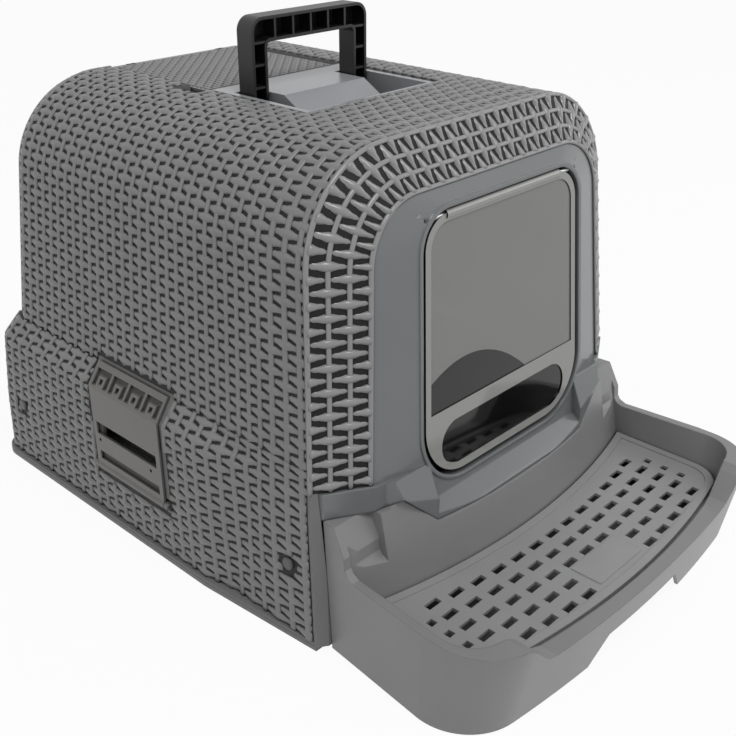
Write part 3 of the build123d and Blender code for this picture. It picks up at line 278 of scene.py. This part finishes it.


# Painted shade: the weave's colour darkens towards near black down in its pockets, where little light gets
# in.
wicker = moulded_plastic("moulded_wicker_polypropylene", "#787878", 0.4, shade="#1c1c1c", reach=0.0045)
# A lighter copy of the wicker plastic, painted lighter for the light and highlights the band catches; its
# pockets get painted shade that darkens towards near black.
lit_band_wicker = moulded_plastic("lit_band_wicker_polypropylene", "#878787", 0.24, shade="#101010", reach=0.005)
# Painted shade: the hood's outer face under the weave is coloured near black, for the shade in the weave's
# pockets.
shell = moulded_plastic("hood_polypropylene", "#747474", 0.5, shade="#1e1e1e", painted_shade_share=painted_pocket_shade,
                       gloss=0.2)
base_plastic = moulded_plastic("base_polypropylene", "#666666", 0.45, edge_mm=0.8)
# Painted shade: the drawer's colour goes near black in deep hollows, such as the cavity under the grid plate.
drawer_plastic = moulded_plastic("drawer_polypropylene", "#7e7e7f", 0.36, shade="#050505", reach=0.05,
                                 pocket=(0.03, 0.25), edge_mm=1.5)
plate_plastic = moulded_plastic("plate_polypropylene", "#8c8c8d", 0.38, edge_mm=0.6)
# Painted shade: the panel darkens in the narrow gap round the flap and in tight corners.
panel_plastic = moulded_plastic("polished_panel_polypropylene", "#6d7071", 0.2, grain=0.004, edge_mm=2.5,
                               shade="#050505", reach=0.01, pocket=(0.25, 0.6))
seat_plastic = moulded_plastic("seat_polypropylene", "#8d8f92", 0.32, edge_mm=0.8)
handle_plastic = moulded_plastic("black_handle_polypropylene", "#0b0a0a", 0.42, edge_mm=0.5)
# Painted shade: the clip darkens down in its grooves and pockets.
clip_plastic = moulded_plastic("clip_polypropylene", "#64625f", 0.38, edge_mm=0.5, shade="#121212",
                              reach=0.004, pocket=(0.3, 0.75))
guide_plastic = moulded_plastic("guide_polypropylene", "#8a8a8a", 0.4)
# The field's light grey is partly a painted reflection of bright surroundings.
flap_plastic = smoked_flap("smoked_styrene", "#858584", "#8f8f8c", 0.05)
pin_steel = drawn_steel("drawn_steel", "#b8b8b8", 0.3)
screw_plastic = moulded_plastic("screw_head_nylon", "#4c4c4c", 0.4)
screw_steel = drawn_steel("blackened_steel", "#3a3a3a", 0.4)
foam = charcoal_foam("charcoal_foam", "#171717")

FINISH = {
    "base_tray": base_plastic, "hood_shell": shell, "front_panel": panel_plastic,
    "entry_flap": flap_plastic, "flap_hinge_rod": pin_steel, "step_tray": drawer_plastic,
    "litter_pan": drawer_plastic, "pan_screws": screw_steel, "grid_plate": plate_plastic,
    "side_clip_left": clip_plastic, "side_clip_right": clip_plastic,
    "clip_pin_left": pin_steel, "clip_pin_right": pin_steel, "handle_pin_left": pin_steel,
    "handle_pin_right": pin_steel, "drawer_guide_left": guide_plastic,
    "drawer_guide_right": guide_plastic, "guide_screws": screw_plastic,
    "handle_seat": seat_plastic, "carry_handle": handle_plastic, "top_lid": wicker,
    "lid_hinge_pin": pin_steel, "filter_basket": guide_plastic, "charcoal_filter": foam,
}
for node_name, finish in FINISH.items():
    slots = nodes[node_name].data.materials
    if len(slots):
        for index in range(len(slots)):
            slots[index] = finish
    else:
        slots.append(finish)


# ---- Meshes -------------------------------------------------------------

def piece(name, points, faces, finish, body, smooth=True):
    """A mesh from points in millimetres, riding on a body."""
    mesh = bpy.data.meshes.new(name)
    mesh.from_pydata((np.asarray(points) * MM).tolist(), [], faces)
    mesh.validate()
    mesh.materials.append(finish)
    mesh.polygons.foreach_set("use_smooth", [smooth] * len(mesh.polygons))
    made = bpy.data.objects.new(name, mesh)
    bpy.context.scene.collection.objects.link(made)
    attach(made, body)
    return made


class Tubes:
    """Gathers closed tubes: each is a run of rings with the same number of points."""

    def __init__(self):
        self.points, self.faces, self.count = [], [], 0

    def run(self, rings):
        """rings has one row of points per station, in order round the section."""
        stations, sides = rings.shape[:2]
        index = self.count + np.arange(stations * sides).reshape(stations, sides)
        a, b = index[:-1], index[1:]
        quads = np.stack([a, b, np.roll(b, -1, 1), np.roll(a, -1, 1)], -1).reshape(-1, 4)
        self.faces.extend(quads.tolist())
        self.faces.append(index[0].tolist())
        self.faces.append(index[-1][::-1].tolist())
        self.points.append(rings.reshape(-1, 3))
        self.count += stations * sides


def kept_runs(flags):
    """Start and end of each stretch of True, if it is more than two stations long."""
    edges = np.flatnonzero(np.diff(np.concatenate([[0], flags.astype(int), [0]])))
    return [(a, b) for a, b in zip(edges[::2], edges[1::2]) if b - a > 2]


STRAND_SIDE = np.array([-1.0, -1.0, -0.62, 0.0, 0.62, 1.0, 1.0])
STRAND_DROP = np.array([0.0, 1.0, 0.28, 0.0, 0.28, 1.0, 0.0])
STRAND_FOOT = np.array([1, 0, 0, 0, 0, 0, 1])
STRAND_SINK = 0.3                     # how far a strand's foot is let into the wall
STAKE_SIDE = np.array([-1.0, -0.7, 0.0, 0.7, 1.0])
STAKE_RISE = np.array([-0.2, 0.72, 1.0, 0.72, -0.2])


def weave(name, surface, rows, cols, finish, body, keep=None, high=2.0, low=0.3, edge=1.3,
          wide=0.97, narrow=0.66, stake_wide=0.44, stake_high=1.8, shift=0.5, per=4):
    """A plain weave laid on a surface. surface(r, c) gives points and normals for row and column numbers;
    strands run along c at the middle of each row, over one stake and under the next."""
    tubes = Tubes()
    c0, c1 = cols
    c = np.linspace(c0, c1, int(round((c1 - c0) * per)) + 1)
    for j in range(rows[0], rows[1]):
        wave = np.cos(np.pi * (c - shift + j))
        half = (narrow + (wide - narrow) * np.maximum(wave, 0)) / 2
        top = (high + low) / 2 + (high - low) / 2 * wave
        r = j + 0.5 + half[:, None] * STRAND_SIDE
        places, normals = surface(r, np.broadcast_to(c[:, None], r.shape))
        rise = np.where(STRAND_FOOT, -STRAND_SINK, top[:, None] - edge * STRAND_DROP)
        rise = np.maximum(rise, -STRAND_SINK)
        rings = places + normals * rise[..., None]
        flags = np.ones(len(c), bool) if keep is None else keep(places[:, 3], r[:, 3], c)
        for a, b in kept_runs(flags):
            tubes.run(rings[a:b])
    r = np.linspace(rows[0], rows[1], (rows[1] - rows[0]) * 2 + 1)
    for middle in np.arange(math.ceil(c0 - shift) + shift, c1 + 0.01, 1.0):
        cc = middle + stake_wide / 2 * STAKE_SIDE
        cc, rr = np.broadcast_arrays(cc[None, :], r[:, None])
        places, normals = surface(rr, cc)
        rings = places + normals * (stake_high * STAKE_RISE)[None, :, None]
        flags = np.ones(len(r), bool) if keep is None else keep(places[:, 2], r, np.full(len(r), middle))
        for a, b in kept_runs(flags):
            tubes.run(rings[a:b][:, ::-1])
    return piece(name, np.concatenate(tubes.points), tubes.faces, finish, body)


# ---- Wicker of the hood --------------------------------------------------

SIDE_COLUMNS, CORNER_COLUMNS = 30, 4
LONG_COLUMNS, LONG_SHARE = 3, 1.24      # the strands next to the front rim are longer


def column_share(c):
    """How far a column line is between the front rim and the rear rounding, from 0 to 1."""
    total = SIDE_COLUMNS - LONG_COLUMNS + LONG_COLUMNS * LONG_SHARE
    return np.where(c < LONG_COLUMNS, c * LONG_SHARE, c - LONG_COLUMNS + LONG_COLUMNS * LONG_SHARE) / total


SLANT = math.hypot(1, SIDE_DRAFT)
ARC_Z = HOOD_TOP - ARCH_R
ARC_X = HOOD_HALF + SIDE_DRAFT * (SEAM_Z - ARC_Z) - ARCH_R * SLANT
DRAFT_ANGLE = math.atan(SIDE_DRAFT)
SIDE_END_Z = ARC_Z + ARCH_R * math.sin(DRAFT_ANGLE)
SIDE_LENGTH = (SIDE_END_Z - SHOULDER_Z) * SLANT
ARC_LENGTH = ARCH_R * (math.pi / 2 - DRAFT_ANGLE)
ARCH_LENGTH = 2 * (SIDE_LENGTH + ARC_LENGTH + ARC_X)
ARCH_ROWS = 92
ARCH_PITCH = ARCH_LENGTH / ARCH_ROWS


def arch_point(s):
    """x, z and the outward normal at a length along the arch, from the left shoulder to the right one."""
    side = np.where(s > ARCH_LENGTH / 2, 1.0, -1.0)
    t = np.where(s > ARCH_LENGTH / 2, ARCH_LENGTH - s, s)
    z_side = SHOULDER_Z + t / SLANT
    x_side = HOOD_HALF - SIDE_DRAFT * (z_side - SEAM_Z)
    turn = DRAFT_ANGLE + np.clip((t - SIDE_LENGTH) / ARCH_R, 0, math.pi / 2 - DRAFT_ANGLE)
    x_arc, z_arc = ARC_X + ARCH_R * np.cos(turn), ARC_Z + ARCH_R * np.sin(turn)
    x_top = ARC_X - (t - SIDE_LENGTH - ARC_LENGTH)
    on_side, on_top = t < SIDE_LENGTH, t > SIDE_LENGTH + ARC_LENGTH
    x = np.where(on_side, x_side, np.where(on_top, x_top, x_arc))
    z = np.where(on_side, z_side, np.where(on_top, HOOD_TOP, z_arc))
    return side * x, z, side * np.cos(turn), np.sin(turn)


REAR_ANGLE = math.atan(REAR_LEAN)


def upper_surface(r, c):
    """The hood above its shoulder: over the arch, then round the rear edge."""
    x, z, nx, nz = arch_point(r * ARCH_PITCH)
    end = np.arccos(nz * math.sin(REAR_ANGLE))
    rear = rear_y(z) - REAR_R * np.tan(end / 2)
    flat = front_y(z) + (rear - front_y(z)) * column_share(np.minimum(c, SIDE_COLUMNS))
    phi = np.clip((c - SIDE_COLUMNS) / CORNER_COLUMNS, 0, 1) * end
    y = flat + REAR_R * np.sin(phi)
    sink = REAR_R * (np.cos(phi) - 1)
    places = np.stack([x + sink * nx, y, z + sink * nz], -1)
    normals = np.stack([nx * np.cos(phi), np.sin(phi), nz * np.cos(phi)], -1)
    return places, normals


def bulge_share(y):
    """0 ahead of the bulge and 1 in it."""
    return np.clip((y - FADE_START) / (FADE_END - FADE_START), 0, 1)


LOWER_ROWS, SHOULDER_ROWS = 19, 3
RIM_ROWS = LOWER_ROWS - SHOULDER_ROWS
REAR_COLUMNS = 29
FOOT_CORNER_COLUMNS = 3
LOWER_COLUMNS = 2 * (SIDE_COLUMNS + FOOT_CORNER_COLUMNS) + REAR_COLUMNS
# How far the foot's face leans back, as rise over run, for the direction that its strands stand in
SHOULDER_TILT, REAR_SHOULDER_TILT, REAR_FOOT_TILT = 0.56, 0.4, 0.12


def lower_surface(r, c):
    """The bulged foot of the hood: left side, rear and right side in one path."""
    z = np.where(r < RIM_ROWS, FLANGE_TOP + r * (BULGE_Z - FLANGE_TOP) / RIM_ROWS,
                 BULGE_Z + (r - RIM_ROWS) * (SHOULDER_Z - BULGE_Z) / SHOULDER_ROWS)
    side = np.where(c > LOWER_COLUMNS / 2, 1.0, -1.0)
    c = np.where(c > LOWER_COLUMNS / 2, LOWER_COLUMNS - c, c)
    rear = np.interp(z, BULGE_REAR_Z, BULGE_REAR)
    start_y = front_y(z)
    y = start_y + (rear - BULGE_R - start_y) * column_share(np.minimum(c, SIDE_COLUMNS))
    slope = np.clip((z - BULGE_Z) / (SHOULDER_Z - BULGE_Z), 0, 1)
    plain = hood_half(z)
    full = BULGE_HALF + (hood_half(np.full_like(z, SHOULDER_Z)) - BULGE_HALF) * slope
    share = bulge_share(y)
    swell = np.maximum(plain, full - FADE_IN * (1 - share))
    half = np.where(y < FADE_START, plain, swell)
    phi = np.clip((c - SIDE_COLUMNS) / FOOT_CORNER_COLUMNS, 0, 1) * math.pi / 2
    along = np.clip(c - SIDE_COLUMNS - FOOT_CORNER_COLUMNS, 0, None) * (half - BULGE_R) * 2 / REAR_COLUMNS
    x = half - BULGE_R * (1 - np.cos(phi)) - along
    y = y + BULGE_R * np.sin(phi)
    tilt = np.where((z > BULGE_Z) & (share > 0), SHOULDER_TILT, np.where(y < FADE_START, SIDE_DRAFT, 0.0))
    tilt = np.where(phi > 1, np.where(z > BULGE_Z, REAR_SHOULDER_TILT, REAR_FOOT_TILT), tilt)
    level = 1 / np.sqrt(1 + tilt ** 2)
    lean = np.where((share > 0) & (share < 1), -FADE_IN / (FADE_END - FADE_START), 0.0)
    normals = np.stack([side * np.cos(phi) * level, np.sin(phi) * level + lean * level, tilt * level], -1)
    normals /= np.linalg.norm(normals, axis=-1, keepdims=True)
    return np.stack([side * x, y, z], -1), normals


def in_notch(x, y):
    """Over the finger notch beside the lid."""
    return (x > NOTCH_X[0]) & (x < NOTCH_X[1]) & (y > NOTCH_Y[0]) & (y < NOTCH_Y[1])


def near_clip(x, y, reach):
    """On a side wall and no more than reach from the middle of its clip, along the wall."""
    return (np.abs(x) > SIDE_X) & (y > CLIP_MIDDLE_Y - reach) & (y < CLIP_MIDDLE_Y + reach)


def hood_keep(p, r, c):
    """Leaves bare the top recess, the notch and the clips."""
    x, y, z = p[:, 0], p[:, 1], p[:, 2]
    recess = (np.abs(x) < RECESS_HALF) & (y > RECESS_FRONT) & (y < RECESS_REAR)
    top = (recess | in_notch(x, y)) & (z > ON_TOP_Z)
    clip = near_clip(x, y, CLIP_HALF + CLIP_MARGIN - 1) & (z > CLIP_FOOT) & (z < CLIP_TOP + CLIP_MARGIN + 1)
    return ~(top | clip)


def lower_keep(p, r, c):
    """Leaves bare the clips, the screws and the skirt's plain rim."""
    x, y, z = p[:, 0], p[:, 1], p[:, 2]
    clip = near_clip(x, y, CLIP_HALF + CLIP_MARGIN) & (z > CLIP_FOOT - 4)
    to_screw = np.min([np.hypot(y - screw_y, z - screw_z) for screw_y, screw_z in SCREW_PLACES], axis=0)
    screw = (np.abs(x) > SIDE_X) & (to_screw < SCREW_CLEAR)
    rim = (y < front_y(z) + RIM_WIDE) & (z < BAND_FOOT - 1)
    return ~(clip | screw | rim)


HALF_ROWS = ARCH_ROWS // 2
for label, span in (("left", (0, HALF_ROWS)), ("right", (HALF_ROWS, ARCH_ROWS))):
    weave(f"wicker_{label}", upper_surface, span, (0, SIDE_COLUMNS + CORNER_COLUMNS), wicker, "housing",
          keep=hood_keep)
weave("wicker_foot", lower_surface, (0, LOWER_ROWS), (0, LOWER_COLUMNS), wicker, "housing",
      keep=lower_keep)

REAR_PITCH_X, REAR_PITCH_Z = 12.4, ARCH_PITCH / SLANT
REAR_FIELD_ROWS, REAR_FIELD_COLUMNS = 24, 26
REAR_TOP_MARGIN = 28.0


def rear_surface(r, c):
    """The flat of the hood's rear wall, above the shoulder."""
    z = SHOULDER_Z + r * REAR_PITCH_Z
    places = np.stack([(REAR_FIELD_COLUMNS / 2 - c) * REAR_PITCH_X, rear_y(z), z], -1)
    normals = np.broadcast_to(np.array([0, math.cos(REAR_ANGLE), math.sin(REAR_ANGLE)]), places.shape)
    return places, normals


def rear_keep(p, r, c):
    """Keeps the rear weave inside the flat, clear of its rounded edges."""
    x, z = np.abs(p[:, 0]), p[:, 2]
    inner = ARCH_R - REAR_R
    corner = (x > ARC_X) & (z > ARC_Z) & (np.hypot(x - ARC_X, z - ARC_Z) > inner)
    return ~corner & (x < hood_half(z) - REAR_R) & (z < HOOD_TOP - REAR_TOP_MARGIN)


weave("wicker_rear", rear_surface, (0, REAR_FIELD_ROWS), (0, REAR_FIELD_COLUMNS), wicker, "housing",
      keep=rear_keep)


# ---- Band round the doorway ---------------------------------------------

def arch_outline(half_at, top, radius, s):
    """x and z on an arch at a share s of its way round, from the left foot to the right one.
    The shares of sides, corners and top are the same for every arch, so that arches match."""
    z_arc = top - radius
    x_arc = half_at(z_arc) - radius * SLANT
    z_end = z_arc + radius * math.sin(DRAFT_ANGLE)
    t = np.where(s > 0.5, 1 - s, s) * 2
    side = np.where(s > 0.5, 1.0, -1.0)
    on_side = np.clip(t / SIDE_SHARE, 0, 1)
    on_arc = np.clip((t - SIDE_SHARE) / ARC_SHARE, 0, 1)
    on_top = np.clip((t - SIDE_SHARE - ARC_SHARE) / (1 - SIDE_SHARE - ARC_SHARE), 0, 1)
    z_side = BAND_FOOT + (z_end - BAND_FOOT) * on_side
    turn = DRAFT_ANGLE + (math.pi / 2 - DRAFT_ANGLE) * on_arc
    x = np.where(t < SIDE_SHARE, half_at(z_side), x_arc + radius * np.cos(turn) - x_arc * on_top)
    z = np.where(t < SIDE_SHARE, z_side, z_arc + radius * np.sin(turn))
    return side * x, z, side * np.cos(turn), np.sin(turn)


BAND_SIDE, BAND_ARC, BAND_TOP = 160.0, 98.0, 100.0      # half of the band's middle line
BAND_HALF_WAY = BAND_SIDE + BAND_ARC + BAND_TOP
SIDE_SHARE, ARC_SHARE = BAND_SIDE / BAND_HALF_WAY, BAND_ARC / BAND_HALF_WAY
BAND_ROWS, BAND_COLUMNS = 80, 3


def door_half(z):
    """Half width of the doorway."""
    return DOOR_HALF - SIDE_DRAFT * (z - SEAM_Z)


def band_surface(r, c):
    """The chamfer from the hood's outline in to the doorway's."""
    s = r / BAND_ROWS
    x0, z0, nx, nz = arch_outline(plain_half, HOOD_TOP, ARCH_R, s)
    x1, z1, _, _ = arch_outline(door_half, DOOR_TOP, DOOR_R, s)
    q = c / BAND_COLUMNS
    outer = np.stack([x0, front_y(z0), z0], -1)
    inner = np.stack([x1, front_y(z1) - BAND_DEPTH, z1], -1)
    places = outer + (inner - outer) * q[..., None]
    width = ARCH_R - DOOR_R
    slope = math.hypot(width, BAND_DEPTH)
    normals = np.stack([nx * BAND_DEPTH / slope, np.full_like(nx, -width / slope),
                        nz * BAND_DEPTH / slope], -1)
    return places, normals


weave("wicker_band", band_surface, (0, BAND_ROWS), (0, BAND_COLUMNS), lit_band_wicker, "housing",
      high=2.9, low=0.4, edge=2.6, wide=0.82, narrow=0.5, stake_wide=0.3,
      stake_high=2.0, shift=1.0, per=6)


# ---- Fine weave of the lid -----------------------------------------------

LID_EDGE = 3.0
LID_ROWS, LID_COLUMNS = 26, 26


def lid_surface(r, c):
    """The lid's flat top, inside its plain edge."""
    x = LID_HALF - LID_EDGE - r * 2 * (LID_HALF - LID_EDGE) / LID_ROWS
    y = LID_FRONT + LID_EDGE + c * (LID_REAR - LID_FRONT - 3 * LID_EDGE) / LID_COLUMNS
    places = np.stack([x, y, np.full_like(x, LID_TOP)], -1)
    return places, np.broadcast_to(np.array([0.0, 0.0, 1.0]), places.shape)


weave("wicker_lid", lid_surface, (0, LID_ROWS), (0, LID_COLUMNS), wicker, "lid",
      high=1.3, low=0.2, edge=0.9, stake_high=1.0)


# ---- Stage and light ----------------------------------------------------

def plane(name, half, finish):
    """A level square at floor height, half its width to each side of the middle, in metres."""
    mesh = bpy.data.meshes.new(name)
    corners = [(-half, -half, 0), (half, -half, 0), (half, half, 0), (-half, half, 0)]
    mesh.from_pydata(corners, [], [(0, 1, 2, 3)])
    mesh.materials.append(finish)
    made = bpy.data.objects.new(name, mesh)
    bpy.context.scene.collection.objects.link(made)
    return made


def seen_directly(tree):
    """1 for what the camera, a mirror or glass sees."""
    rays = add(tree, "ShaderNodeLightPath").outputs
    seen = math_node(tree, "MAXIMUM", rays["Is Camera Ray"], rays["Is Glossy Ray"])
    return math_node(tree, "MAXIMUM", seen, rays["Is Transmission Ray"])


def floor_finish():
    """A matt white sweep that looks evenly white and keeps a trace of the object's shadow."""
    made, tree, shader = start("white_floor")
    shader.inputs["Base Color"].default_value = linear("#e8e8e8")
    shader.inputs["Roughness"].default_value = 0.9
    shader.inputs["Specular IOR Level"].default_value = 0.1
    glow = add(tree, "ShaderNodeEmission", {"Color": linear("#ffffff"), "Strength": 1.0})
    share = math_node(tree, "MULTIPLY", seen_directly(tree), 0.93)
    mixed = add(tree, "ShaderNodeMixShader", {0: share, 1: shader.outputs[0], 2: glow.outputs[0]})
    tree.links.new(mixed.outputs[0], tree.nodes["Material Output"].inputs["Surface"])
    return made


floor = plane("floor", 6.0, floor_finish())

world = bpy.data.worlds.new("studio")
bpy.context.scene.world = world
world.use_nodes = True
tree = world.node_tree
tree.nodes.clear()
soft = add(tree, "ShaderNodeBackground", {"Color": linear("#ffffff"), "Strength": 0.5})
white = add(tree, "ShaderNodeBackground", {"Color": linear("#ffffff"), "Strength": 1.0})
mixed = add(tree, "ShaderNodeMixShader", {0: seen_directly(tree), 1: soft.outputs[0], 2: white.outputs[0]})
add(tree, "ShaderNodeOutputWorld", {"Surface": mixed.outputs[0]})


def lamp(name, place, target, size, power):
    """A round soft light, size metres across and power watts strong, aimed at a target."""
    data = bpy.data.lights.new(name, "AREA")
    data.shape, data.size, data.energy = "DISK", size, power
    made = bpy.data.objects.new(name, data)
    made.location = place
    direction = np.array(target) - np.array(place)
    made.rotation_euler = Vector(direction).to_track_quat("-Z", "Y").to_euler()
    bpy.context.scene.collection.objects.link(made)


MIDDLE = (0, 0, 0.2)
lamp("key", (-0.3, -1.2, 2.4), MIDDLE, 1.0, 26)
lamp("fill", (-2.2, 0.3, 1.2), MIDDLE, 1.5, 4)
lamp("doorway", (2.0, -1.5, 1.0), MIDDLE, 1.2, 8)

bpy.context.scene.view_settings.view_transform = "Standard"
